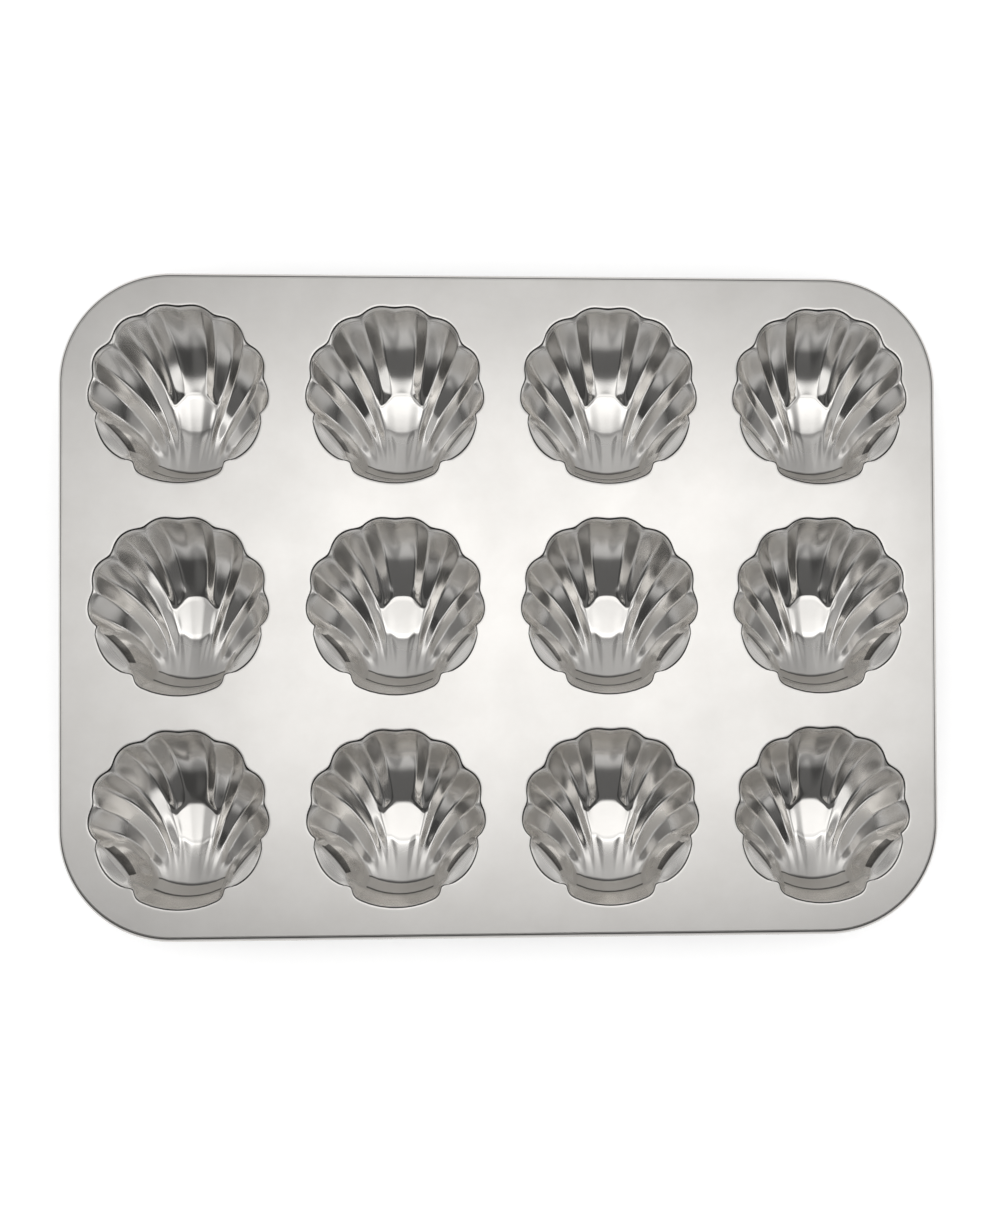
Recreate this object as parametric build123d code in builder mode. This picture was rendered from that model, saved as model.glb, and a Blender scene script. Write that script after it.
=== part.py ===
"""Madeleine pan: a pressed steel sheet with twelve scallop-shell cups and a wired rolled edge.

Frame: millimetres, +Z up, X along the long side, Y from the hinge end of the cups to their fan end.
The origin lies under the middle of the pan, on the plane that the twelve cups rest on.
"""

from build123d import *
from itertools import pairwise
from math import cos, hypot, radians, sin, tan
import os

os.makedirs("parts", exist_ok=True)

# Pan and sheet
PAN_LENGTH = 350.0  # over the rolled edge, along X
PAN_WIDTH = 265.0  # over the rolled edge, along Y
CORNER_RADIUS = 44.5  # outside of the rolled edge
SHEET = 0.6  # thickness of the pressed sheet

# Cups
END_MARGIN = 9.35  # deck between the outer cups and the rolled edge, at the pan's ends
SIDE_MARGIN = 10.8  # the same at its long sides
LEAST_GAP = 12.0  # deck left between neighbouring cups, at least
CUP_WIDTH = 71.0
CUP_LENGTH = 70.0
CUP_DEPTH = 21.0  # from the deck's top face to the deepest flute
DISH_RADIUS = 85.0  # the floor of a cup is part of a sphere
WALL_DRAFT = 15.0  # degrees, walls of the cup off the vertical
PLEAT = 1.5  # height of a ridge over the valley beside it
REST_FLAT = 0.3  # the cup's underside is flattened by this much where it stands

# Rolled edge
WIRE_DIAMETER = 3.6
WIRE_PLAY = 0.1  # between the wire and the sheet rolled round it
ROLL_FOLDS = 10  # flats that the sheet makes round the wire, from the deck
FOLD_ANGLE = 30.0  # degrees from one flat to the next
WIRE_SIDES = 8

# Outline of a cup, right half, as shares of its half width and half length.
# A notch is where two lobes meet, a corner is where a lobe's round end meets the facet of a rib.
NOTCH_SHARES = [(0.0, 0.971), (0.384, 0.874), (0.729, 0.563), (0.918, 0.177), (0.884, -0.217)]
CORNER_SHARES = [(0.240, 0.977), (0.633, 0.771), (0.935, 0.363), (0.977, -0.114)]
LOBE_RISE_SHARES = [0.026, 0.037, 0.046, 0.043]  # how far each lobe's end swells past its chord
LOBE_STEPS = 2  # straight runs that follow a lobe's round end
SHOULDER_SHARES = [(0.670, -0.405), (0.530, -0.625)]  # bowl's edge beside the ear
BASE_NOTCH_SHARE = (0.490, -0.771)
BASE_CORNER_SHARE = (0.482, -0.857)
BASE_ANGLE = 25.0  # degrees either side of the cup's axis where the base turns round
BASE_STEPS = 2

# Ears, the two shallow pockets beside the hinge
EAR_TOP_SHARE = (0.896, -0.297)
EAR_FOOT_SHARE = (0.532, -0.751)
EAR_RISE = 3.0
EAR_STEPS = 2
EAR_INNER_SHARES = [(0.34, -0.57), (0.68, -0.12)]
EAR_CENTRE_SHARE = (0.507, -0.343)
EAR_DRAFT = 34.0  # degrees, the ear's outer wall off the vertical
EAR_DEPTH = 6.5  # at the crease between the ear's wall and its floor
EAR_SLOPE = 39.0  # degrees, the ear's floor down towards the bowl
EAR_CREASE_SHARE = (0.679, -0.490)  # middle of that crease
EAR_HEADING = 144.0  # degrees, the way down the ear's floor

# Ridges of the pleated floor: each is a curve from its notch past a middle point to the hinge
RIDGE_MIDDLE_SHARES = [(0.183, 0.086), (0.239, -0.057), (0.408, -0.200), (0.493, -0.426)]
RIDGE_START_SHARES = NOTCH_SHARES[1:4] + [(0.963, -0.286)]
RIDGE_END_ANGLES = [5.2, 12.4, 19.4, 33.0]  # degrees off the cup's axis, at the hinge
STATION_SHARES = [-0.25, 0.25, 0.53, 1.0]  # along a ridge, from outside the cup
VALLEY_SHARE = 0.6  # place of a valley between two ridges
HINGE_PLEAT_SHARE = 0.5  # the pleats run out to this share of their height at the hinge

# Hinge, the stepped wall at the base of the shell
HINGE_FOOT_INSET = 6.5  # from the base of the mouth in to where the floor ends
HINGE_CREASE_INSET = 3.2  # and in to the crease
HINGE_CREASE_DEPTH = 10.3
HINGE_SWEEP = 66.0  # degrees
HINGE_PANELS = 4  # flat panels that follow the wall's curve

OVERRUN = 2.0  # how far cutting bodies reach past what they cut

HALF_WIDTH = CUP_WIDTH / 2
HALF_LENGTH = CUP_LENGTH / 2
HINGE_FOOT_RADIUS = HALF_LENGTH - HINGE_FOOT_INSET
HINGE_CREASE_RADIUS = HALF_LENGTH - HINGE_CREASE_INSET
DECK_TOP = CUP_DEPTH + SHEET - REST_FLAT
ROLL_DIAMETER = WIRE_DIAMETER + 2 * WIRE_PLAY + 2 * SHEET
ROLL_RADIUS = ROLL_DIAMETER / 2
DECK_LENGTH = PAN_LENGTH - ROLL_DIAMETER
DECK_WIDTH = PAN_WIDTH - ROLL_DIAMETER
DECK_CORNER = CORNER_RADIUS - ROLL_RADIUS
FOLDS_AT_DECK = round(90 / FOLD_ANGLE)  # folds between the outermost point and the deck

# As many cups as fit, spread evenly between the margins
CUP_FIELD_LENGTH = DECK_LENGTH - 2 * END_MARGIN
CUP_FIELD_WIDTH = DECK_WIDTH - 2 * SIDE_MARGIN
COLUMNS = int((CUP_FIELD_LENGTH + LEAST_GAP) // (CUP_WIDTH + LEAST_GAP))
ROWS = int((CUP_FIELD_WIDTH + LEAST_GAP) // (CUP_LENGTH + LEAST_GAP))
COLUMN_PITCH = (CUP_FIELD_LENGTH - CUP_WIDTH) / (COLUMNS - 1)
ROW_PITCH = (CUP_FIELD_WIDTH - CUP_LENGTH) / (ROWS - 1)


def place(share):
    """A point of the cup's outline, in the cup's own frame."""
    return Vector(share[0] * HALF_WIDTH, share[1] * HALF_LENGTH)


def swell(start, end, rise, steps):
    """Points of the arc from start to end that swells outward by rise, without the last one."""
    chord = end - start
    outward = Vector(-chord.Y, chord.X).normalized() * rise
    arc = ThreePointArc(start, (start + end) / 2 + outward, end, mode=Mode.PRIVATE)
    return [arc @ (step / steps) for step in range(steps)]


def both_halves(right_half):
    """A closed ring of points from its right half, which starts and ends on the cup's axis."""
    left_half = [Vector(-p.X, p.Y) for p in reversed(right_half[1:-1])]
    return right_half + left_half


def bowl_outline():
    """The bowl at the deck: eight lobes, the shoulders beside the ears, and the hinge's base."""
    points = []
    for i, rise_share in enumerate(LOBE_RISE_SHARES):
        rise = rise_share * HALF_LENGTH
        points += swell(place(NOTCH_SHARES[i]), place(CORNER_SHARES[i]), -rise, LOBE_STEPS)
        points.append(place(CORNER_SHARES[i]))
    points += [place(share) for share in [NOTCH_SHARES[-1], *SHOULDER_SHARES]]
    points += [place(BASE_NOTCH_SHARE), place(BASE_CORNER_SHARE)]
    for step in range(BASE_STEPS + 1):
        turn = radians(BASE_ANGLE * (1 - step / BASE_STEPS))
        points.append(Vector(HALF_LENGTH * sin(turn), -HALF_LENGTH * cos(turn)))
    return both_halves(points)


def ear_outline():
    """The right ear at the deck, reaching into the bowl."""
    round_side = swell(place(EAR_TOP_SHARE), place(EAR_FOOT_SHARE), -EAR_RISE, EAR_STEPS)
    inner_side = [place(share) for share in EAR_INNER_SHARES]
    ends = [place(EAR_FOOT_SHARE), place(BASE_NOTCH_SHARE)]
    return [place(NOTCH_SHARES[-1]), *round_side, *ends, *inner_side]


def lifted(point, height):
    """The point straight above or below a given one, at a height over the deck's top face."""
    return Vector(point.X, point.Y, height)


def around(ring):
    """The pairs of neighbours round a closed ring."""
    return pairwise([*ring, ring[0]])


def flat_faced(loops):
    """A solid from its flat faces, each a loop of corners."""
    return Solid(Shell([Face(Wire.make_polygon(loop)) for loop in loops]))


def tapered(points, centre, reach, draft, depth, grow, top):
    """A body that narrows downward from the deck, towards centre, at about the draft angle."""
    rings = []
    for level in (top, -depth):
        share = 1 + (grow + level * tan(radians(draft))) / reach
        rings.append([lifted(centre + (p - centre) * share, level) for p in points])
    sides = [[a, b, d, c] for (a, b), (c, d) in zip(*map(around, rings))]
    return flat_faced([*rings, *sides])


def ridge(number, station, grow):
    """Plan position of a ridge at a station: a quadratic curve, from its notch to the hinge."""
    start = place(RIDGE_START_SHARES[number])
    middle = place(RIDGE_MIDDLE_SHARES[number])
    turn = radians(RIDGE_END_ANGLES[number])
    end = Vector(sin(turn), -cos(turn)) * (HINGE_FOOT_RADIUS + grow)
    rest = 1 - station
    return start * rest**2 + middle * 2 * rest * station + end * station**2


def floor_height(point, lift, grow):
    """Height of the floor under a point of the plan, below the deck's top face."""
    reach = hypot(point.X, point.Y)
    return reach**2 / (2 * DISH_RADIUS) - CUP_DEPTH - grow + lift


def pleat_section(station, grow):
    """The folded line of the floor at one station: valley, ridge, valley and so on."""
    lift = PLEAT * (1 - max(station, 0) * (1 - HINGE_PLEAT_SHARE))
    points = []
    inner = Vector(0, ridge(0, station, grow).Y)
    for number in range(len(RIDGE_END_ANGLES)):
        outer = ridge(number, station, grow)
        valley = inner + (outer - inner) * VALLEY_SHARE
        points.append(lifted(valley, floor_height(valley, 0, grow)))
        points.append(lifted(outer, floor_height(outer, lift, grow)))
        inner = outer
    side = outer + Vector(grow, 0)
    points[-1] = lifted(side, floor_height(side, 0, grow))
    return [Vector(-p.X, p.Y, p.Z) for p in reversed(points)] + points


def pleated_space(top, grow):
    """The space over the pleated floor, which fans out from the hinge."""
    sections = [pleat_section(station, grow) for station in STATION_SHARES]
    loops = []
    for near, far in pairwise(sections):
        for (a, b), (c, d) in zip(pairwise(near), pairwise(far)):
            loops += [[a, b, d], [a, d, c]] if b.X > 0 else [[a, b, c], [b, d, c]]
    first_side = [section[0] for section in sections[1:-1]]
    last_side = [section[-1] for section in sections[1:-1]]
    rim = [*sections[0], *last_side, *reversed(sections[-1]), *reversed(first_side)]
    loops += [[a, b, lifted(b, top), lifted(a, top)] for a, b in around(rim)]
    loops.append([lifted(point, top) for point in rim])
    return flat_faced(loops)


def hinge_space(top, grow):
    """The space in front of the hinge's stepped wall, in panels round the cup's upright axis."""
    foot = floor_height(Vector(0, HINGE_FOOT_RADIUS), PLEAT * HINGE_PLEAT_SHARE, grow)
    profile = [
        (HINGE_FOOT_RADIUS / 2, foot),
        (HINGE_FOOT_RADIUS + grow, foot),
        (HINGE_CREASE_RADIUS + grow, -HINGE_CREASE_DEPTH - grow),
        (HALF_LENGTH + OVERRUN, -HINGE_CREASE_DEPTH - grow),
        (HALF_LENGTH + OVERRUN, top),
        (HINGE_FOOT_RADIUS / 2, top),
    ]
    sweep = radians(HINGE_SWEEP) + 2 * grow / HINGE_FOOT_RADIUS
    sections = []
    for step in range(HINGE_PANELS + 1):
        turn = sweep * (step / HINGE_PANELS - 1 / 2)
        sections.append([Vector(r * sin(turn), -r * cos(turn), height) for r, height in profile])
    loops = [sections[0], sections[-1]]
    for near, far in pairwise(sections):
        loops += [[a, b, d, c] for (a, b), (c, d) in zip(around(near), around(far))]
    return flat_faced(loops)


def ear_space(top, grow):
    """The shallow pocket of the right ear, with its sloping floor."""
    centre = place(EAR_CENTRE_SHARE)
    reach = (place(EAR_CREASE_SHARE) - centre).length + EAR_DEPTH * tan(radians(EAR_DRAFT))
    block = tapered(ear_outline(), centre, reach, EAR_DRAFT, 2 * EAR_DEPTH, grow, top)
    crease = place(EAR_CREASE_SHARE) + Vector(0, 0, -EAR_DEPTH - grow)
    heading = Vector(cos(radians(EAR_HEADING)), sin(radians(EAR_HEADING)))
    lean = radians(EAR_SLOPE)
    upward = heading * sin(lean) + Vector(0, 0, cos(lean))
    with BuildPart() as space:
        add(block)
        split(bisect_by=Plane(origin=crease, z_dir=upward), keep=Keep.TOP)
    return space.part


def cup_space(top, grow):
    """Everything inside the cup's inner skin, or inside its outer skin when grow is the sheet."""
    depth = CUP_DEPTH + OVERRUN
    with BuildPart() as space:
        add(pleated_space(top, grow))
        add(hinge_space(top, grow))
        bowl = tapered(bowl_outline(), Vector(0, 0), HALF_LENGTH, WALL_DRAFT, depth, grow, top)
        add(bowl, mode=Mode.INTERSECT)
        ear = ear_space(top, grow)
        add(ear)
        add(ear.mirror(Plane.YZ))
    return space.part


inside = cup_space(OVERRUN, 0)
outside = cup_space(0, SHEET)

# One cup, with its mouth flush with the deck's top face
with BuildPart() as cup:
    add(outside)
    add(inside, mode=Mode.SUBTRACT)
    split(bisect_by=Plane.XY.offset(-DECK_TOP), keep=Keep.TOP)

cup_places = GridLocations(COLUMN_PITCH, ROW_PITCH, COLUMNS, ROWS).locations
for spot in cup_places:
    column = round(spot.position.X / COLUMN_PITCH + (COLUMNS + 1) / 2)
    row = round((ROWS + 1) / 2 - spot.position.Y / ROW_PITCH)
    shell = Location(spot.position + Vector(0, 0, DECK_TOP)) * cup.part
    shell.label = f"cup_row{row}_column{column}"
    export_step(shell, f"parts/{shell.label}.step")

# Deck with twelve openings that the cups' mouths fill
with BuildPart() as mouth:
    with BuildSketch(Plane.XY.offset(-SHEET)):
        Rectangle(CUP_WIDTH + OVERRUN, CUP_LENGTH + OVERRUN)
    extrude(amount=SHEET)
    add(outside, mode=Mode.INTERSECT)

with BuildPart() as deck:
    with BuildSketch(Plane.XY.offset(DECK_TOP - SHEET)):
        RectangleRounded(DECK_LENGTH, DECK_WIDTH, DECK_CORNER)
    extrude(amount=SHEET)
    with Locations(*[spot.position + Vector(0, 0, DECK_TOP) for spot in cup_places]):
        add(mouth.part, mode=Mode.SUBTRACT)
deck.part.label = "deck"
export_step(deck.part, "parts/deck.step")

# Edge of the sheet, rolled down and round the wire
with BuildSketch(Plane.XY.offset(DECK_TOP - ROLL_RADIUS)) as roll_course:
    RectangleRounded(DECK_LENGTH, DECK_WIDTH, DECK_CORNER)
roll_path = roll_course.sketch.face().outer_wire()
roll_start = roll_path @ 0
inward = Vector(0, 0, 1).cross(roll_path % 0)
outward = inward if inward.dot(roll_start) > 0 else inward * -1
roll_plane = Plane(origin=roll_start, x_dir=outward, z_dir=outward.cross(Vector(0, 0, 1)))

with BuildPart() as rolled_edge:
    with BuildSketch(roll_plane):
        with BuildLine():
            folds = [FOLD_ANGLE * (FOLDS_AT_DECK - fold) for fold in range(ROLL_FOLDS + 1)]
            skin = [Vector(ROLL_RADIUS, 0).rotate(Axis.Z, angle) for angle in folds]
            lining = [point * (1 - SHEET / ROLL_RADIUS) for point in reversed(skin)]
            Polyline(*skin, *lining, close=True)
        make_face()
    sweep(path=roll_path)
rolled_edge.part.label = "rolled_edge"
export_step(rolled_edge.part, "parts/rolled_edge.step")

with BuildPart() as bead_wire:
    with BuildSketch(roll_plane):
        RegularPolygon(WIRE_DIAMETER / 2, WIRE_SIDES)
    sweep(path=roll_path)
bead_wire.part.label = "bead_wire"
export_step(bead_wire.part, "parts/bead_wire.step")
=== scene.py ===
"""Madeleine pan: the looks of the pressed sheet, its twelve shell cups, the rolled edge and the wire.

Frame: metres, +Z up, X along the long side, Y from the hinge end of the shells to their fan end.
"""

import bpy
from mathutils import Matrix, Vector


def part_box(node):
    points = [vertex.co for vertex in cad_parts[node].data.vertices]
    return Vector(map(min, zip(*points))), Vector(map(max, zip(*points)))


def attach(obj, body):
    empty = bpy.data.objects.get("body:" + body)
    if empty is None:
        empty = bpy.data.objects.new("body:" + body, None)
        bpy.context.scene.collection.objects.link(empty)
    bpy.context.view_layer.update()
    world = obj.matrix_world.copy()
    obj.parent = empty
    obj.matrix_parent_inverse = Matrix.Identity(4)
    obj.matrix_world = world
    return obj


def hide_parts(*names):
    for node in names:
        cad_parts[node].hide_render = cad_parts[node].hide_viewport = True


bl_info = {
    "name": "Madeleine pan",
    "version": (1, 0, 0),
    "blender": (4, 5, 0),
    "location": "3D View > Sidebar > Pan",
    "description": "Shell cups, deck, rolled edge and wire of a madeleine pan, with a plain studio",
    "category": "Object",
}

from math import atan2, cos, hypot, pi, radians, sin, sqrt

import bmesh
import bpy
from mathutils import Matrix, Vector

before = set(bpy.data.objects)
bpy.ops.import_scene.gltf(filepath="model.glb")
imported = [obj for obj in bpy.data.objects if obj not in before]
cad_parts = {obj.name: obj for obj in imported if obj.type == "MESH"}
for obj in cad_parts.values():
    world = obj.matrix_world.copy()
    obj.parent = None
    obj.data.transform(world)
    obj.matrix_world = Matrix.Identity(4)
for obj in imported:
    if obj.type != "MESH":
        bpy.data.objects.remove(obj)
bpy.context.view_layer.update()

BODY = "root"
MM = 0.001
MERGE = MM / 100  # points closer than this are one
X_AXIS, Y_AXIS, Z_AXIS = Vector((1, 0, 0)), Vector((0, 1, 0)), Vector((0, 0, 1))

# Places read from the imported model
DECK_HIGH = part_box("deck")[1]
DECK_TOP = DECK_HIGH.z
DECK_HALF_LENGTH, DECK_HALF_WIDTH = DECK_HIGH.x, DECK_HIGH.y
EDGE_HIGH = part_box("rolled_edge")[1]
CUP_NODES = sorted(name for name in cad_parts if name.startswith("cup_"))

# Half the width and length of a cup's mouth, and how much further the hinge end reaches than the fan end
CUP_HALF_WIDTH = 35.5 * MM
CUP_HALF_LENGTH = 35.0 * MM
CUP_OFF_CENTRE = 0.8188 * MM
CUP_FLAT = Vector((CUP_HALF_WIDTH, CUP_HALF_LENGTH, 0))

# A cup's cage has a line for each even column, from the mouth to the hinge, fanned out from the middle
# to the ear of the right half, and odd columns between them. Places are shares of CUP_FLAT.

# Where the columns leave the mouth. Every fourth one leaves a notch.
MOUTH_SHARES = [
    (0.000, 0.971), (0.138, 1.000), (0.239, 0.980), (0.327, 0.934), (0.383, 0.874),
    (0.513, 0.862), (0.622, 0.806), (0.704, 0.700), (0.727, 0.563), (0.851, 0.512),
    (0.930, 0.400), (0.940, 0.270), (0.917, 0.177), (0.976, 0.080), (0.990, -0.070),
    (0.941, -0.177), (0.882, -0.217), (0.889, -0.237), (0.896, -0.257), (0.899, -0.280),
    (0.899, -0.303),
]
# The bowl's lines: the point that pulls each one into its curve, how far off the axis it ends at the
# hinge, and how much of a ridge it is
MIDDLE_SHARES = [
    (0.0, 0.0), (0.055, 0.028), (0.152, -0.013), (0.155, -0.010),
    (0.233, -0.087), (0.295, -0.097), (0.427, -0.242), (0.523, -0.299),
]
HINGE_SHARES = [0.0, 0.051, 0.076, 0.149, 0.175, 0.245, 0.273, 0.375]
LIFT_SHARES = [0.1, 0.0, 1.0, 0.0, 1.0, 0.0, 1.0, 0.0]

# The ridge beside the ear, the ear's crease and the ear's mouth: start, middle and end of a curve to the
# foot of the hinge, then the hinge's crease and the base, each with its depth
EAR_SHARES = [
    [(0.882, -0.217, 0.450), (0.559, -0.383, 0.540), (0.513, -0.629, 0.480),
     (0.496, -0.709, 0.290), (0.490, -0.771, 0.000)],
    [(0.896, -0.257, 0.140), (0.684, -0.444, 0.180), (0.575, -0.626, 0.160),
     (0.552, -0.691, 0.090), (0.524, -0.751, 0.000)],
    [(0.899, -0.303, 0.000), (0.853, -0.617, 0.000), (0.620, -0.728, 0.000),
     (0.592, -0.734, 0.000), (0.569, -0.741, 0.000)],
]
EAR_DROP_SHARE = 0.20  # part of those curves over which the sheet drops from the mouth
BASE_CORNER_SHARE = (0.479, -0.851)

# Rows of the cage, as parts of each stretch of a line
BOWL_STEPS = [0.0, 0.035, 0.09, 0.18, 0.32, 0.5, 0.72, 0.92, 1.0]  # from the mouth to the flat disc
DISC_STEPS = [0.5, 1.0]  # across the disc
RISE_STEPS = [0.3, 0.65, 1.0]  # from the disc to the hinge's foot
HINGE_STEPS = [0.5, 1.0]  # up to the hinge's crease
BASE_STEPS = [0.5, 0.88, 1.0]  # and on to the mouth
# The ear's lines have their own steps from the mouth to the hinge's foot
EAR_STEPS = [0.0, 0.02, 0.05, 0.09, 0.14, 0.20, 0.28, 0.37, 0.46, 0.56, 0.67, 0.78, 0.89, 1.0]
DISC_ROW = len(BOWL_STEPS) - 1
RISE_ROW = DISC_ROW + len(DISC_STEPS)
HINGE_ROW = RISE_ROW + len(RISE_STEPS)
CREASE_ROW = HINGE_ROW + len(HINGE_STEPS)
BASE_ROW = CREASE_ROW + len(BASE_STEPS)

# Columns of the last bowl line, of the ear's three lines, and of those that cross the flat disc
CORNER_COLUMN = 2 * (len(MIDDLE_SHARES) - 1)
EAR_RIDGE_COLUMN = CORNER_COLUMN + 2
EAR_CREASE_COLUMN = CORNER_COLUMN + 4
LAST_COLUMN = len(MOUTH_SHARES) - 1
DISC_COLUMNS = 7

# Course of the bowl's lines
PATH_TRIES = 400  # points tried along a line to find the disc
PASSING = 0.09  # least part of a line that counts as beside the disc, before and after the nearest point
CROSSING = 2.1 * PASSING  # a line with more of it there crosses the disc
HINGE_SIDE_SLOPE = 0.35  # how steep the bowl is on the hinge's side, against the other
HINGE_RISE_POWER = 1.5  # how late the floor rises to the hinge's foot
CREASE_TURN_SHARE = 0.885  # how far the lines close in as they climb to the hinge's crease
BASE_TURN_SHARE = 0.920  # and how far they do at the base

# Ridges of the bowl
PLEAT_GROWTH = 1.8  # how much higher the ridges are at the mouth than at the disc
PLEAT_START = 0.06  # part of a line over which its ridge rises from the mouth
PLEAT_END = 0.6  # part of the way from the disc to the hinge where the ridges have died away
DISC_PLEAT = 0.12  # height left to the ridges on the disc

# Sharpness of the pressed lines
NOTCH_CREASE = 1
RIDGE_CREASE = 0.75
VALLEY_CREASE = 0.65
FADED_CREASE = 0.25
HINGE_CREASE = 0.85
FOOT_CREASE = 0.55
MIDDLE_CREASE = 0.45
DISC_CREASE = 0.6
DENT_ROWS = 2  # rows that the dent in the middle of the fan end reaches

# Two values that the sheet's material reads. One tells a cup's inside (1) from the deck (0) and sets
# roughness and painted light and shade, and the other is 1 along the sharp lines of the ear's pocket and
# the hinge and on bands of the rolled edge, all painted dark as shade.
INSIDE, PAINTED_SHADE_LINE = "inside", "painted_shade_line"
MOUTH = 0.5  # "inside" at a cup's mouth, where a dark line of painted shade runs round the bend
PAINTED_BRIGHT_WALL = 0.8  # and on the walls behind the ear's pocket and the hinge, which are painted at full brightness as painted light
EAR_MOUTH = 0.62  # at the mouth beside the ear's pocket, where the dark line of painted shade is left out
ROUGH_AND_SHADED_FLOOR = 0.92  # on the floor near the hinge and beside the ear, which is rougher and painted a little darker as shade
DULL_COLUMN, DULL_ROW = CORNER_COLUMN - 3, DISC_ROW - 2  # where the rough and shaded floor beside the ear begins
POCKET_START = 4  # row at which the painted shade of the ear's pocket begins
POCKET_SHADE = 0.94  # value of painted shade inside it, which paints the pocket dark

SHELL_SHARP_ANGLE, EDGE_SHARP_ANGLE = radians(70), radians(40)

# Heights on the roll, as shares of its radius over its middle, of the line where it leaves the deck
# and of its outer side, both painted dark as shade
ROLL_PAINTED_SHADE = [(0.90, 0.98), (-0.60, 0.36)]

# Share of the sheet's roughness, from the bottom of a cup to the deck
ROUGH_BY_DEPTH = [(0, 0.32), (0.20, 0.46), (0.45, 0.65), (0.65, 0.75), (0.9, 0.85), (1, 1)]
DEPTH_SPAN = 21 * MM
# How many times rougher it is by the value "inside"
ROUGH_BY_PLACE = [(0, 1), (0.86, 1), (0.91, 2.5), (0.94, 2.5), (1, 1)]
# Share of its brightness by the value "inside", all painted light and shade: a dark line of painted shade
# in the bend round the mouth, a cup's floor painted darker than the deck, and walls painted at full
# brightness
LIGHT_AND_SHADE_BY_PLACE = [
    (0, 0.93), (0.27, 0.93), (0.35, 0.05), (0.50, 0.05), (0.58, 1), (0.84, 1), (0.91, 0.80), (1, 0.84),
]
# The same by the value of painted shade: dark lines painted as shade along the creases, in the ear's
# pocket and round the rolled edge
PAINTED_SHADE_BY_LINE = [(0, 1), (0.82, 1), (0.93, 0.32), (1, 0.15)]

# Scales of the patterns on the steel, per metre, and how strong they are
NOISE_RANGE = (0.3, 0.7)  # most of a noise lies between these
MARK_SCALE, MARK_SHARE = 60, 0.5
PATCH_SCALE, PATCH_RANGE = 35, (0.93, 1.07)
WAVE_SCALE, WAVE_HEIGHT, WAVE_STRENGTH = 18, 0.2 * MM, 0.25
GRAIN_SCALE, GRAIN_HEIGHT, GRAIN_STRENGTH = 2500, 0.01 * MM, 0.35
WIRE_GRAIN_SCALE, WIRE_ROUGHNESS = 400, (0.3, 0.5)

# Brightness of the surroundings that the steel mirrors, by how far they lie off the zenith in degrees
WINDOW_STRENGTH = 1.66
SKY_ACROSS = [
    (-90, 0.8), (-50, 0.9), (-34, 0.42), (-23, 0.42), (-18, 1.0),
    (18, 1.0), (23, 0.42), (34, 0.42), (50, 0.9), (90, 0.8),
]
SKY_ALONG = [
    (-90, 0.20), (-84, 0.36), (-76, 0.42), (-66, 0.38), (-58, 0.34), (-48, 0.08), (-14, 0.07),
    (-9.5, 0.76), (-3, 0.85), (4, 0.62), (8.5, 1.0), (14.5, 1.0),
    (17.5, 0.40), (22, 0.20), (30, 0.31), (50, 0.43), (90, 0.46),
]

FLOOR_HALF_SIZE = 3.0
FLOOR_ROUGHNESS = 0.9
FLOOR_GLOW = 0.25  # what only the camera sees, so that the floor is white

# Picture size, the focal length in its pixels, the pixel on the lens's axis, and how far that axis
# leans off straight down, in radians
PHOTO_WIDTH, PHOTO_HEIGHT = 1000, 1222
LENS_PIXELS = 1004.3
AXIS_PIXEL = (578.1, 685.0)
CAMERA_TILT = (0.0098, -0.0313, -0.0049)
SENSOR_WIDTH = 36


class ShellSizes(bpy.types.PropertyGroup):
    """Sizes of the shell cups."""

    depth: bpy.props.FloatProperty(
        name="Depth", description="From the deck to the edge of the disc",
        default=20.55 * MM, unit="LENGTH")
    disc_radius: bpy.props.FloatProperty(
        name="Disc radius", description="Radius of the flat disc that the cup stands on", default=8.8 * MM,
        unit="LENGTH")
    disc_shift: bpy.props.FloatProperty(
        name="Disc shift", description="How far the disc lies towards the hinge",
        default=2.9 * MM, unit="LENGTH")
    dish: bpy.props.FloatProperty(
        name="Dish", description="How far the disc's middle lies under its edge",
        default=0.15 * MM, unit="LENGTH")
    disc_slope: bpy.props.FloatProperty(
        name="Slope at the disc", description="Part of the bowl's rise that is straight",
        default=0.28, min=0, max=1)
    bowl_power: bpy.props.FloatProperty(
        name="Bowl curve", description="How late the bowl's walls steepen", default=3.6, min=1)
    hinge_rise: bpy.props.FloatProperty(
        name="Rise at the hinge", description="Height of the hinge's foot over the disc", default=4.8 * MM,
        unit="LENGTH")
    pleat: bpy.props.FloatProperty(
        name="Pleat", description="Height of a ridge over its valley", default=1.6 * MM, unit="LENGTH")
    hinge_foot: bpy.props.FloatProperty(
        name="Hinge foot", description="Radius where the floor ends at the hinge",
        default=28.5 * MM, unit="LENGTH")
    hinge_crease: bpy.props.FloatProperty(
        name="Hinge crease", description="Radius of the hinge's crease", default=31.8 * MM, unit="LENGTH")
    crease_depth: bpy.props.FloatProperty(
        name="Crease depth", description="Depth of the hinge's crease", default=10.3 * MM, unit="LENGTH")
    lip: bpy.props.FloatProperty(
        name="Lip", description="Width of the bend round the mouth", default=1.3 * MM, unit="LENGTH")
    flange: bpy.props.FloatProperty(
        name="Flange", description="Width of deck that belongs to a cup", default=3 * MM, unit="LENGTH")
    sheet: bpy.props.FloatProperty(
        name="Sheet", description="Thickness of the sheet", default=0.6 * MM, unit="LENGTH")


class EdgeSizes(bpy.types.PropertyGroup):
    """Sizes of the deck's outline and its rolled edge."""

    corner: bpy.props.FloatProperty(
        name="Corner", description="Radius of the deck's corners", default=42 * MM, unit="LENGTH")
    turn: bpy.props.FloatProperty(
        name="Turn", description="How far the sheet is rolled round the wire",
        default=radians(300), subtype="ANGLE")
    corner_steps: bpy.props.IntProperty(
        name="Corner steps", description="Steps round each corner", default=32)
    roll_steps: bpy.props.IntProperty(
        name="Roll steps", description="Steps round the roll", default=40)


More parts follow.
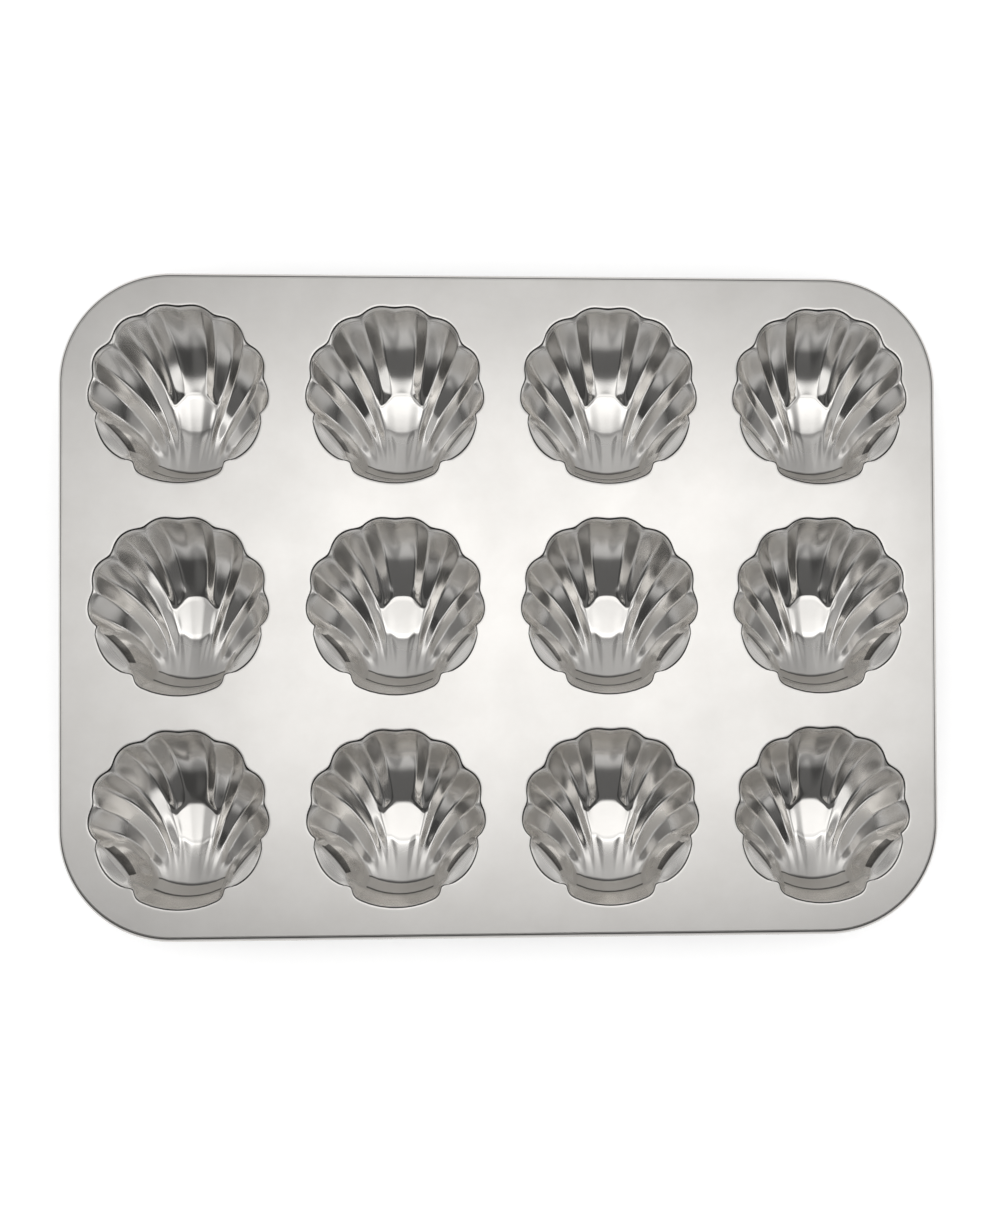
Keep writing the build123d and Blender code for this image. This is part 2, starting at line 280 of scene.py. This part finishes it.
class PanFinish(bpy.types.PropertyGroup):
    """Colours and gloss of the steel."""

    sheet_colour: bpy.props.FloatVectorProperty(
        name="Sheet", description="Colour of the bright sheet", subtype="COLOR",
        default=(0.905, 0.885, 0.855))
    mark_colour: bpy.props.FloatVectorProperty(
        name="Marks", description="Colour of the faint baking marks", subtype="COLOR",
        default=(0.80, 0.775, 0.74))
    wire_colour: bpy.props.FloatVectorProperty(
        name="Wire", description="Colour of the wire", subtype="COLOR", default=(0.52, 0.50, 0.47))
    gloss: bpy.props.FloatProperty(
        name="Roughness", description="Roughness of the deck", default=0.30, min=0, max=1)


class StudioSettings(bpy.types.PropertyGroup):
    """Camera and floor."""

    height: bpy.props.FloatProperty(
        name="Height", description="Camera above the deck", default=0.400, unit="LENGTH")
    foot_x: bpy.props.FloatProperty(
        name="Foot X", description="Camera off the pan's middle, along the pan",
        default=17.2 * MM, unit="LENGTH")
    foot_y: bpy.props.FloatProperty(
        name="Foot Y", description="Camera off the pan's middle, across the pan",
        default=-35.6 * MM, unit="LENGTH")
    floor_colour: bpy.props.FloatVectorProperty(
        name="Floor", description="Colour of the floor", subtype="COLOR", default=(0.9, 0.9, 0.9))


def sizes(name):
    """The scene's settings of one group."""
    return getattr(bpy.context.scene, name)


# Shape of a shell cup


def cup_centre(node):
    """Where a cup's own origin lies, on the deck's top face."""
    low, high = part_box(node)
    return Vector(((low.x + high.x) / 2, (high.y + low.y + CUP_OFF_CENTRE) / 2, DECK_TOP))


def on_mouth(column):
    return Vector((*MOUTH_SHARES[column], 0)) * CUP_FLAT


def quadratic(start, middle, end, step):
    """A point of the curve from start to end that the middle point pulls aside."""
    rest = 1 - step
    return start * rest * rest + middle * (2 * rest * step) + end * (step * step)


def line_path(shell, line, step):
    """Plan of one of the bowl's eight lines in the right half, from the mouth to the hinge's foot."""
    middle = Vector((*MIDDLE_SHARES[line], 0)) * CUP_FLAT
    hinge_x = HINGE_SHARES[line] * CUP_HALF_WIDTH
    hinge = Vector((hinge_x, -sqrt(shell.hinge_foot**2 - hinge_x**2), 0))
    return quadratic(on_mouth(2 * line), middle, hinge, step)


def disc_distance(shell, point):
    return hypot(point.x, point.y + shell.disc_shift)


def disc_steps(shell, line):
    """Where a line comes to the flat disc and leaves it, or passes it most closely."""
    tries = [i / PATH_TRIES for i in range(PATH_TRIES + 1)]
    distances = [disc_distance(shell, line_path(shell, line, step)) for step in tries]
    on_disc = [step for step, distance in zip(tries, distances) if distance < shell.disc_radius]
    nearest = tries[distances.index(min(distances))]
    return min([*on_disc, nearest - PASSING]), max([*on_disc, nearest + PASSING])


def bowl_climb(shell, line, step):
    """How far out a point of a line lies, between the disc's edge (0) and the line's mouth (1)."""
    span = disc_distance(shell, line_path(shell, line, 0)) - shell.disc_radius
    return max(0, disc_distance(shell, line_path(shell, line, step)) - shell.disc_radius) / span


def bowl_wall(shell, climb):
    """Height of the bowl's wall over the disc."""
    return shell.depth * (shell.disc_slope * climb + (1 - shell.disc_slope) * climb**shell.bowl_power)


def bowl_line_point(shell, line, row):
    """A point of one of the bowl's eight lines in the right half."""
    start, end = disc_steps(shell, line)
    if row <= DISC_ROW:
        step = start * BOWL_STEPS[row]
    elif row <= RISE_ROW:
        step = start + (end - start) * DISC_STEPS[row - DISC_ROW - 1]
    else:
        step = end + (1 - end) * RISE_STEPS[min(row, HINGE_ROW) - RISE_ROW - 1]
    point = line_path(shell, line, step)
    climb = bowl_climb(shell, line, step)
    wall = bowl_wall(shell, climb)
    if step > end:
        wall_end = bowl_wall(shell, bowl_climb(shell, line, end))
        wall = wall_end + (wall - wall_end) * HINGE_SIDE_SLOPE
    to_hinge = max(0, step - end) / (1 - end)
    rise = shell.pleat * LIFT_SHARES[line] * (1 + PLEAT_GROWTH * climb) * min(1, step / PLEAT_START)
    rise *= max(0, 1 - to_hinge / PLEAT_END) ** 2
    if end > start + CROSSING and DISC_ROW <= row <= RISE_ROW:
        rise *= DISC_PLEAT
    point.z = (1 - to_hinge) * wall + to_hinge**HINGE_RISE_POWER * shell.hinge_rise + rise - shell.depth
    off_centre = min(1, disc_distance(shell, point) / shell.disc_radius)
    point.z -= shell.dish * (1 - off_centre**2)
    if row == 0:
        point.z = 0
    if row <= HINGE_ROW:
        return point
    turn = atan2(point.x, -point.y)
    crease_turn = turn * CREASE_TURN_SHARE
    crease = Vector((sin(crease_turn), -cos(crease_turn), 0)) * shell.hinge_crease
    crease.z = -shell.crease_depth
    if row <= CREASE_ROW:
        return point.lerp(crease, HINGE_STEPS[row - HINGE_ROW - 1])
    base = Vector((sin(turn * BASE_TURN_SHARE), -cos(turn * BASE_TURN_SHARE), 0)) * CUP_HALF_LENGTH
    return crease.lerp(base, BASE_STEPS[row - CREASE_ROW - 1])


def ear_line_point(shell, line, row):
    """A point of the ridge beside the ear, of the ear's crease or of its mouth."""
    size = Vector((CUP_HALF_WIDTH, CUP_HALF_LENGTH, -shell.depth))
    start, middle, hinge, crease, base = [Vector(share) * size for share in EAR_SHARES[line]]
    if row <= HINGE_ROW:
        step = EAR_STEPS[row]
        point = quadratic(start, middle, hinge, step)
        point.z *= 1 - max(0, 1 - step / EAR_DROP_SHARE) ** 2
        return point
    if row <= CREASE_ROW:
        return hinge.lerp(crease, HINGE_STEPS[row - HINGE_ROW - 1])
    return crease.lerp(base, BASE_STEPS[row - CREASE_ROW - 1])


def shell_point(shell, column, row):
    """A point of the cup's inner skin. Columns fan out from the middle, rows run to the hinge."""
    if column % 2 == 0:
        if column <= CORNER_COLUMN:
            return bowl_line_point(shell, column // 2, row)
        return ear_line_point(shell, (column - EAR_RIDGE_COLUMN) // 2, row)
    before, after = shell_point(shell, column - 1, row), shell_point(shell, column + 1, row)
    between = (before + after) / 2
    if column < EAR_RIDGE_COLUMN and row <= HINGE_ROW:
        swell = on_mouth(column) - (on_mouth(column - 1) + on_mouth(column + 1)) / 2
        between += swell * (1 - BOWL_STEPS[min(row, DISC_ROW)]) ** 2
        if row in (DISC_ROW, RISE_ROW) and column < DISC_COLUMNS:
            reach = shell.disc_radius / disc_distance(shell, between)
            between.x *= reach
            between.y = (between.y + shell.disc_shift) * reach - shell.disc_shift
        return between
    if column == CORNER_COLUMN + 1 and row > CREASE_ROW:
        corner = Vector((*BASE_CORNER_SHARE, 0)) * CUP_FLAT
        ends = (shell_point(shell, column - 1, BASE_ROW) + shell_point(shell, column + 1, BASE_ROW)) / 2
        return between + (corner - ends) * BASE_STEPS[row - CREASE_ROW - 1]
    return between


def place_value(column, row):
    """What the value "inside" is at a point of the cage, which sets its roughness and its painted light
    and shade.
    """
    if row in (0, BASE_ROW):
        return MOUTH
    if column == LAST_COLUMN:
        return EAR_MOUTH
    if row > CREASE_ROW or column == LAST_COLUMN - 1:
        return PAINTED_BRIGHT_WALL
    first_dull = RISE_ROW + 1 if column < DULL_COLUMN else DULL_ROW
    return ROUGH_AND_SHADED_FLOOR if row >= first_dull and column <= CORNER_COLUMN else 1


def painted_shade_value(column, row):
    """What the value of painted shade is at a point of the cage, along the creases of the ear's pocket and
    the hinge that are painted dark.
    """
    if column in (EAR_CREASE_COLUMN, EAR_CREASE_COLUMN - 1) and row == HINGE_ROW:
        return 1
    if column == EAR_CREASE_COLUMN:
        return 1 if POCKET_START <= row < HINGE_ROW else 0
    if column == EAR_CREASE_COLUMN - 1:
        return POCKET_SHADE if POCKET_START < row < HINGE_ROW else 0
    return 1 if row in (HINGE_ROW, CREASE_ROW) and column <= CORNER_COLUMN else 0


def line_sharpness(columns, rows):
    """How sharp the edge between two neighbouring points of the cage is."""
    if columns[0] == columns[1]:
        column, lower = columns[0], max(rows)
        if column == 0:
            return VALLEY_CREASE if lower <= DENT_ROWS else 0
        if column < DISC_COLUMNS and DISC_ROW <= lower <= RISE_ROW:
            return 0
        if column <= CORNER_COLUMN and RISE_ROW < lower <= HINGE_ROW:
            return FADED_CREASE if lower == RISE_ROW + 1 else 0
        if column % 4 == 0 and column <= EAR_RIDGE_COLUMN and lower <= CREASE_ROW:
            return RIDGE_CREASE
        if column % 4 == 2 and lower <= (CREASE_ROW if column > CORNER_COLUMN else HINGE_ROW):
            return VALLEY_CREASE
        if column == CORNER_COLUMN and lower > HINGE_ROW:
            return HINGE_CREASE
        return 0
    if max(columns) > CORNER_COLUMN:
        pocket_end = min(columns) >= EAR_RIDGE_COLUMN and max(columns) <= EAR_CREASE_COLUMN
        return FOOT_CREASE if pocket_end and rows[0] == HINGE_ROW else 0
    if rows[0] == HINGE_ROW:
        return FOOT_CREASE
    if rows[0] in (DISC_ROW, RISE_ROW) and max(columns) <= DISC_COLUMNS:
        return DISC_CREASE
    return HINGE_CREASE if rows[0] == CREASE_ROW else 0


def notch_sharpness(column, row):
    """How sharp the mouth's outline is at a point of the cage."""
    if row == 0 and column <= EAR_RIDGE_COLUMN:
        if column == 0:
            return MIDDLE_CREASE
        return {0: NOTCH_CREASE, 2: MIDDLE_CREASE}.get(column % 4, 0)
    return HINGE_CREASE if row == BASE_ROW and column == EAR_RIDGE_COLUMN else 0


def parts_of(made, kind):
    return [part for part in made if isinstance(part, kind)]


def shell_cage(shell):
    """The cup's cage: a grid laid over its inner skin, mirrored, with a strip of deck round it."""
    bm = bmesh.new()
    bmesh.ops.create_grid(bm, x_segments=LAST_COLUMN, y_segments=BASE_ROW, size=1.0)
    crease = bm.edges.layers.float.new("crease_edge")
    inside = bm.verts.layers.float.new(INSIDE)
    # value that paints shade along the creases and in the ear's pocket
    line = bm.verts.layers.float.new(PAINTED_SHADE_LINE)
    cells = {}
    for vert in bm.verts:
        column = round((vert.co.x + 1) / 2 * LAST_COLUMN)
        row = round((1 - vert.co.y) / 2 * BASE_ROW)
        cells[vert] = (column, row)
    for edge in bm.edges:
        columns, rows = zip(*(cells[vert] for vert in edge.verts))
        edge[crease] = line_sharpness(columns, rows)
    for vert, (column, row) in cells.items():
        vert.co = shell_point(shell, column, row)
        vert[inside] = place_value(column, row)
        vert[line] = painted_shade_value(column, row)
    for width in (shell.lip, shell.flange - shell.lip):
        rim = [e for e in bm.edges if e.is_boundary and any(v.co.x > MERGE for v in e.verts)]
        ends = {vert for edge in rim for vert in edge.verts}
        made = bmesh.ops.extrude_edge_only(bm, edges=rim)["geom"]
        for edge in parts_of(made, bmesh.types.BMEdge):
            start = [vert for vert in edge.verts if vert in ends]
            edge[crease] = notch_sharpness(*cells[start[0]]) if start else 0
            if start:
                cells[edge.other_vert(start[0])] = cells[start[0]]
        for vert in parts_of(made, bmesh.types.BMVert):
            vert.co += Vector((vert.co.x, vert.co.y, 0)).normalized() * width
            vert[inside] = 0
    everything = [*bm.verts, *bm.edges, *bm.faces]
    bmesh.ops.mirror(bm, geom=everything, matrix=Matrix.Identity(4), merge_dist=MERGE, axis="X")
    bmesh.ops.recalc_face_normals(bm, faces=bm.faces[:])
    bm.normal_update()
    if sum(face.normal.z for face in bm.faces) < 0:
        bmesh.ops.reverse_faces(bm, faces=bm.faces[:])
    return bm


# Finishing a piece


def to_mesh(bm, name):
    mesh = bpy.data.meshes.new(name)
    bm.to_mesh(mesh)
    bm.free()
    return mesh


def finished(mesh, name, add_modifiers):
    """The mesh with its modifiers applied."""
    piece = bpy.data.objects.new(name, mesh)
    bpy.context.scene.collection.objects.link(piece)
    add_modifiers(piece)
    graph = bpy.context.evaluated_depsgraph_get()
    done = bpy.data.meshes.new_from_object(piece.evaluated_get(graph))
    bpy.data.objects.remove(piece)
    done.name = name
    return done


def subdivide(piece):
    surface = piece.modifiers.new("Rounding", "SUBSURF")
    surface.levels = surface.render_levels = 2
    surface.boundary_smooth = "ALL"


def thicken(piece, thickness):
    """Gives a skin its thickness, below its outer face."""
    wall = piece.modifiers.new("Sheet", "SOLIDIFY")
    wall.thickness = thickness
    wall.offset = -1


def soften(mesh, limit):
    """Smooth shading, with edges sharp where faces meet at more than the limit."""
    mesh.polygons.foreach_set("use_smooth", [True] * len(mesh.polygons))
    mesh.set_sharp_from_angle(angle=limit)


def add_piece(mesh, name, material, nodes):
    """A finished piece in the frame, standing for its nodes."""
    piece = bpy.data.objects.new(name, mesh)
    bpy.context.scene.collection.objects.link(piece)
    mesh.materials.clear()
    mesh.materials.append(material)
    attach(piece, BODY)
    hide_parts(*nodes)
    return piece


# Materials


def feed(tree, value, socket):
    """Links a node's output to a socket, or sets the socket to a plain value."""
    if isinstance(value, bpy.types.NodeSocket):
        tree.links.new(value, socket)
    else:
        socket.default_value = value


def math(tree, kind, *values):
    node = tree.nodes.new("ShaderNodeMath")
    node.operation = kind
    for place, value in enumerate(values):
        feed(tree, value, node.inputs[place])
    return node.outputs["Value"]


def mix(tree, kind, factor, first, second):
    """Two colours blended."""
    node = tree.nodes.new("ShaderNodeMix")
    node.data_type = "RGBA"
    node.blend_type = kind
    feed(tree, factor, node.inputs["Factor"])
    feed(tree, first, node.inputs["A"])
    feed(tree, second, node.inputs["B"])
    return node.outputs["Result"]


def noise(tree, coords, scale, detail=2.0, roughness=0.5):
    node = tree.nodes.new("ShaderNodeTexNoise")
    node.inputs["Scale"].default_value = scale
    node.inputs["Detail"].default_value = detail
    node.inputs["Roughness"].default_value = roughness
    tree.links.new(coords, node.inputs["Vector"])
    return node.outputs["Fac"]


def spread(tree, value, before, after):
    """A value that lies in one range carried over to another."""
    node = tree.nodes.new("ShaderNodeMapRange")
    node.inputs["From Min"].default_value, node.inputs["From Max"].default_value = before
    node.inputs["To Min"].default_value, node.inputs["To Max"].default_value = after
    tree.links.new(value, node.inputs["Value"])
    return node.outputs["Result"]


def ramp(tree, value, stops):
    """A value turned into a grey level, by stops of place and level."""
    node = tree.nodes.new("ShaderNodeValToRGB")
    elements = node.color_ramp.elements
    while len(elements) > 1:
        elements.remove(elements[0])
    elements[0].position, elements[0].color = stops[0][0], (*[stops[0][1]] * 3, 1)
    for place, level in stops[1:]:
        elements.new(place).color = (*[level] * 3, 1)
    tree.links.new(value, node.inputs["Fac"])
    return node.outputs["Color"]


def bump(tree, pattern, height, strength):
    node = tree.nodes.new("ShaderNodeBump")
    node.inputs["Distance"].default_value = height
    node.inputs["Strength"].default_value = strength
    tree.links.new(pattern, node.inputs["Height"])
    return node


def attribute(tree, name):
    node = tree.nodes.new("ShaderNodeAttribute")
    node.attribute_name = name
    return node.outputs["Fac"]


def metal(name):
    """A new metal material, its node tree, its shader and its Object coordinates."""
    material = bpy.data.materials.new(name)
    material.use_nodes = True
    tree = material.node_tree
    shader = tree.nodes["Principled BSDF"]
    shader.inputs["Metallic"].default_value = 1.0
    return material, tree, shader, tree.nodes.new("ShaderNodeTexCoord").outputs["Object"]


def bright_sheet():
    """Bright tinned steel: clean and glossy, with a faint waviness, fine grain and baking marks, and
    painted light and shade by place and along the creases.
    """
    finish = sizes("pan_finish")
    material, tree, shader, coords = metal("bright_sheet")
    place = attribute(tree, INSIDE)

    marks = spread(tree, noise(tree, coords, MARK_SCALE, 6, 0.65), NOISE_RANGE, (0, MARK_SHARE))
    colour = mix(tree, "MIX", marks, (*finish.sheet_colour, 1), (*finish.mark_colour, 1))
    # painted light and shade by the value "inside": the mouth's dark line, the darker cup floor and the
    # brighter walls
    colour = mix(tree, "MULTIPLY", 1, colour, ramp(tree, place, LIGHT_AND_SHADE_BY_PLACE))
    # painted shade: dark lines along the creases, in the ear's pocket and on bands of the rolled edge
    colour = mix(tree, "MULTIPLY", 1, colour, ramp(tree, attribute(tree, PAINTED_SHADE_LINE), PAINTED_SHADE_BY_LINE))
    feed(tree, colour, shader.inputs["Base Color"])

    split = tree.nodes.new("ShaderNodeSeparateXYZ")
    tree.links.new(coords, split.inputs["Vector"])
    depth = spread(tree, split.outputs["Z"], (DECK_TOP - DEPTH_SPAN, DECK_TOP), (0, 1))
    patch_range = [finish.gloss * share for share in PATCH_RANGE]
    patchy = spread(tree, noise(tree, coords, PATCH_SCALE), NOISE_RANGE, patch_range)
    rough = math(tree, "MULTIPLY", ramp(tree, depth, ROUGH_BY_DEPTH), patchy)
    rough = math(tree, "MULTIPLY", rough, ramp(tree, place, ROUGH_BY_PLACE))
    feed(tree, rough, shader.inputs["Roughness"])

    waves = bump(tree, noise(tree, coords, WAVE_SCALE, 1), WAVE_HEIGHT, WAVE_STRENGTH)
    grain = bump(tree, noise(tree, coords, GRAIN_SCALE), GRAIN_HEIGHT, GRAIN_STRENGTH)
    tree.links.new(waves.outputs["Normal"], grain.inputs["Normal"])
    tree.links.new(grain.outputs["Normal"], shader.inputs["Normal"])
    return material


def drawn_wire():
    """Plain drawn wire, a little dull."""
    material, tree, shader, coords = metal("drawn_wire")
    shader.inputs["Base Color"].default_value = (*sizes("pan_finish").wire_colour, 1)
    rough = spread(tree, noise(tree, coords, WIRE_GRAIN_SCALE, 4), NOISE_RANGE, WIRE_ROUGHNESS)
    feed(tree, rough, shader.inputs["Roughness"])
    return material


def material_named(name, maker):
    return bpy.data.materials.get(name) or maker()


# Pieces


def shell_skin():
    shell = sizes("shell_sizes")
    return finished(to_mesh(shell_cage(shell), "shell_cage"), "shell_skin", subdivide)


class PAN_OT_cups(bpy.types.Operator):
    """Make the twelve shell cups."""

    bl_idname = "pan.cups"
    bl_label = "Shell cups"

    def execute(self, context):
        shell = sizes("shell_sizes")
        steel = material_named("bright_sheet", bright_sheet)
        wall = finished(shell_skin(), "shell_wall", lambda piece: thicken(piece, shell.sheet))
        soften(wall, SHELL_SHARP_ANGLE)
        for node in CUP_NODES:
            mesh = wall.copy()
            mesh.transform(Matrix.Translation(cup_centre(node)))
            add_piece(mesh, node.replace("cup", "shell"), steel, [node])
        return {"FINISHED"}


def mouth_ring():
    """The outer edge of a cup's strip of deck, as a closed ring of edges."""
    bm = bmesh.new()
    bm.from_mesh(shell_skin())
    inner = [vert for vert in bm.verts if not vert.is_boundary]
    bmesh.ops.delete(bm, geom=inner, context="VERTS")
    left_over = [edge for edge in bm.edges if not edge.is_boundary and not edge.is_wire]
    bmesh.ops.delete(bm, geom=[*left_over, *bm.faces], context="EDGES_FACES")
    return to_mesh(bm, "mouth_ring")


class PAN_OT_deck(bpy.types.Operator):
    """Make the flat deck between the cups."""

    bl_idname = "pan.deck"
    bl_label = "Deck"

    def execute(self, context):
        edge = sizes("edge_sizes")
        bm = bmesh.new()
        bmesh.ops.create_grid(bm, x_segments=1, y_segments=1, size=1.0)
        bmesh.ops.scale(bm, verts=bm.verts[:], vec=(DECK_HALF_LENGTH, DECK_HALF_WIDTH, 1))
        bmesh.ops.bevel(
            bm, geom=bm.verts[:], offset=edge.corner, offset_type="OFFSET", affect="VERTICES",
            segments=edge.corner_steps, profile=0.5, material=-1)
        bmesh.ops.delete(bm, geom=bm.faces[:], context="FACES_ONLY")
        bmesh.ops.translate(bm, verts=bm.verts[:], vec=Z_AXIS * DECK_TOP)
        ring = mouth_ring()
        for node in CUP_NODES:
            hole = ring.copy()
            hole.transform(Matrix.Translation(cup_centre(node)))
            bm.from_mesh(hole)
        bmesh.ops.triangle_fill(bm, use_beauty=True, use_dissolve=False, edges=bm.edges[:], normal=Z_AXIS)
        made = bmesh.ops.extrude_face_region(bm, geom=bm.faces[:], use_keep_orig=True)["geom"]
        under = parts_of(made, bmesh.types.BMVert)
        bmesh.ops.translate(bm, verts=under, vec=-Z_AXIS * sizes("shell_sizes").sheet)
        bmesh.ops.recalc_face_normals(bm, faces=bm.faces[:])
        steel = material_named("bright_sheet", bright_sheet)
        add_piece(to_mesh(bm, "deck_sheet"), "deck_sheet", steel, ["deck"])
        return {"FINISHED"}


class PAN_OT_edge(bpy.types.Operator):
    """Make the edge of the sheet, rolled round the wire."""

    bl_idname = "pan.edge"
    bl_label = "Rolled edge"

    def execute(self, context):
        edge = sizes("edge_sizes")
        radius = EDGE_HIGH.x - DECK_HALF_LENGTH
        run_x, run_y = DECK_HALF_LENGTH - edge.corner, DECK_HALF_WIDTH - edge.corner
        centre = Vector((DECK_HALF_LENGTH, -run_y, DECK_TOP - radius))
        bm = bmesh.new()
        start = bm.verts.new(centre + Z_AXIS * radius)
        bmesh.ops.spin(bm, geom=[start], cent=centre, axis=Y_AXIS, angle=edge.turn, steps=edge.roll_steps)
        profile = [*bm.verts, *bm.edges]
        sides = [
            (Y_AXIS * 2 * run_y, Vector((run_x, run_y, 0))),
            (-X_AXIS * 2 * run_x, Vector((-run_x, run_y, 0))),
            (-Y_AXIS * 2 * run_y, Vector((-run_x, -run_y, 0))),
            (X_AXIS * 2 * run_x, Vector((run_x, -run_y, 0))),
        ]
        for run, corner in sides:
            made = bmesh.ops.extrude_edge_only(bm, edges=parts_of(profile, bmesh.types.BMEdge))["geom"]
            verts = parts_of(made, bmesh.types.BMVert)
            bmesh.ops.translate(bm, verts=verts, vec=run)
            ends = set(verts)
            profile = [*verts, *(e for e in parts_of(made, bmesh.types.BMEdge) if set(e.verts) <= ends)]
            turned = bmesh.ops.spin(
                bm, geom=profile, cent=corner, axis=Z_AXIS, angle=pi / 2, steps=edge.corner_steps)
            profile = turned["geom_last"]
        bmesh.ops.remove_doubles(bm, verts=bm.verts[:], dist=MERGE)
        # the line where the roll leaves the deck and the roll's outer side are painted dark as shade
        line = bm.verts.layers.float.new(PAINTED_SHADE_LINE)
        for vert in bm.verts:
            height = (vert.co.z - centre.z) / radius
            vert[line] = any(low <= height <= high for low, high in ROLL_PAINTED_SHADE)
        bmesh.ops.recalc_face_normals(bm, faces=bm.faces[:])
        outermost = max(bm.faces, key=lambda face: face.calc_center_median().x)
        if outermost.normal.x < 0:
            bmesh.ops.reverse_faces(bm, faces=bm.faces[:])
        sheet = sizes("shell_sizes").sheet
        roll = finished(to_mesh(bm, "edge_skin"), "edge_roll", lambda piece: thicken(piece, sheet))
        soften(roll, EDGE_SHARP_ANGLE)
        steel = material_named("bright_sheet", bright_sheet)
        add_piece(roll, "edge_roll", steel, ["rolled_edge"])
        return {"FINISHED"}


class PAN_OT_wire(bpy.types.Operator):
    """Give the wire inside the rolled edge its finish."""

    bl_idname = "pan.wire"
    bl_label = "Wire"

    def execute(self, context):
        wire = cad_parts["bead_wire"]
        wire.data.materials.clear()
        wire.data.materials.append(material_named("drawn_wire", drawn_wire))
        return {"FINISHED"}


# Studio


def sky():
    """Surroundings: white light for the floor, and for the steel a pale room with a window overhead."""
    world = bpy.data.worlds.new("studio")
    bpy.context.scene.world = world
    world.use_nodes = True
    tree = world.node_tree
    tree.nodes.clear()
    out = tree.nodes.new("ShaderNodeOutputWorld")
    split = tree.nodes.new("ShaderNodeSeparateXYZ")
    tree.links.new(tree.nodes.new("ShaderNodeTexCoord").outputs["Generated"], split.inputs["Vector"])
    levels = []
    for side, stops in (("X", SKY_ACROSS), ("Y", SKY_ALONG)):
        lean = math(tree, "ARCTAN2", split.outputs[side], split.outputs["Z"])
        share = math(tree, "MULTIPLY_ADD", lean, 1 / pi, 0.5)
        levels.append(ramp(tree, share, [(angle / 180 + 0.5, level) for angle, level in stops]))
    glossy = tree.nodes.new("ShaderNodeBackground")
    glossy.inputs["Strength"].default_value = WINDOW_STRENGTH
    feed(tree, math(tree, "MULTIPLY", *levels), glossy.inputs["Color"])
    plain = tree.nodes.new("ShaderNodeBackground")
    plain.inputs["Color"].default_value = (1, 1, 1, 1)
    both = tree.nodes.new("ShaderNodeMixShader")
    feed(tree, tree.nodes.new("ShaderNodeLightPath").outputs["Is Glossy Ray"], both.inputs[0])
    feed(tree, plain.outputs[0], both.inputs[1])
    feed(tree, glossy.outputs[0], both.inputs[2])
    feed(tree, both.outputs[0], out.inputs["Surface"])


def floor_paint():
    """White paint without a shine, a little lighter to the camera than it is lit."""
    paint = bpy.data.materials.new("floor_paint")
    paint.use_nodes = True
    tree = paint.node_tree
    shader = tree.nodes["Principled BSDF"]
    shader.inputs["Base Color"].default_value = (*sizes("studio_settings").floor_colour, 1)
    shader.inputs["Roughness"].default_value = FLOOR_ROUGHNESS
    shader.inputs["Specular IOR Level"].default_value = 0.0
    shader.inputs["Emission Color"].default_value = (1, 1, 1, 1)
    seen = tree.nodes.new("ShaderNodeLightPath").outputs["Is Camera Ray"]
    feed(tree, math(tree, "MULTIPLY", seen, FLOOR_GLOW), shader.inputs["Emission Strength"])
    return paint


class PAN_OT_stage(bpy.types.Operator):
    """Set the floor, the surroundings and the camera."""

    bl_idname = "pan.stage"
    bl_label = "Stage"

    def execute(self, context):
        studio = sizes("studio_settings")
        bm = bmesh.new()
        bmesh.ops.create_grid(bm, x_segments=1, y_segments=1, size=FLOOR_HALF_SIZE)
        floor = bpy.data.objects.new("floor", to_mesh(bm, "floor"))
        context.scene.collection.objects.link(floor)
        floor.data.materials.append(floor_paint())
        sky()

        lens = bpy.data.cameras.new("camera")
        lens.sensor_fit = "HORIZONTAL"
        lens.sensor_width = SENSOR_WIDTH
        lens.lens = SENSOR_WIDTH * LENS_PIXELS / PHOTO_WIDTH
        lens.shift_x = -(AXIS_PIXEL[0] - PHOTO_WIDTH / 2) / PHOTO_WIDTH
        lens.shift_y = (AXIS_PIXEL[1] - PHOTO_HEIGHT / 2) / PHOTO_WIDTH
        camera = bpy.data.objects.new("camera", lens)
        context.scene.collection.objects.link(camera)
        camera.location = (studio.foot_x, studio.foot_y, DECK_TOP + studio.height)
        camera.rotation_euler = CAMERA_TILT
        context.scene.camera = camera
        context.scene.view_settings.view_transform = "Standard"
        return {"FINISHED"}


class PAN_PT_panel(bpy.types.Panel):
    """Lists the pieces of the pan."""

    bl_idname = "PAN_PT_panel"
    bl_label = "Madeleine pan"
    bl_space_type = "VIEW_3D"
    bl_region_type = "UI"
    bl_category = "Pan"

    def draw(self, context):
        for maker in MAKERS:
            self.layout.operator(maker.bl_idname)


GROUPS = {
    "shell_sizes": ShellSizes,
    "edge_sizes": EdgeSizes,
    "pan_finish": PanFinish,
    "studio_settings": StudioSettings,
}
MAKERS = [PAN_OT_cups, PAN_OT_deck, PAN_OT_edge, PAN_OT_wire, PAN_OT_stage]


def register():
    for kind in [*GROUPS.values(), *MAKERS, PAN_PT_panel]:
        bpy.utils.register_class(kind)
    for name, kind in GROUPS.items():
        setattr(bpy.types.Scene, name, bpy.props.PointerProperty(type=kind))


def unregister():
    for name in GROUPS:
        delattr(bpy.types.Scene, name)
    for kind in reversed([*GROUPS.values(), *MAKERS, PAN_PT_panel]):
        bpy.utils.unregister_class(kind)


def main():
    register()
    bpy.ops.pan.cups()
    bpy.ops.pan.deck()
    bpy.ops.pan.edge()
    bpy.ops.pan.wire()
    bpy.ops.pan.stage()


if __name__ == "__main__":
    main()
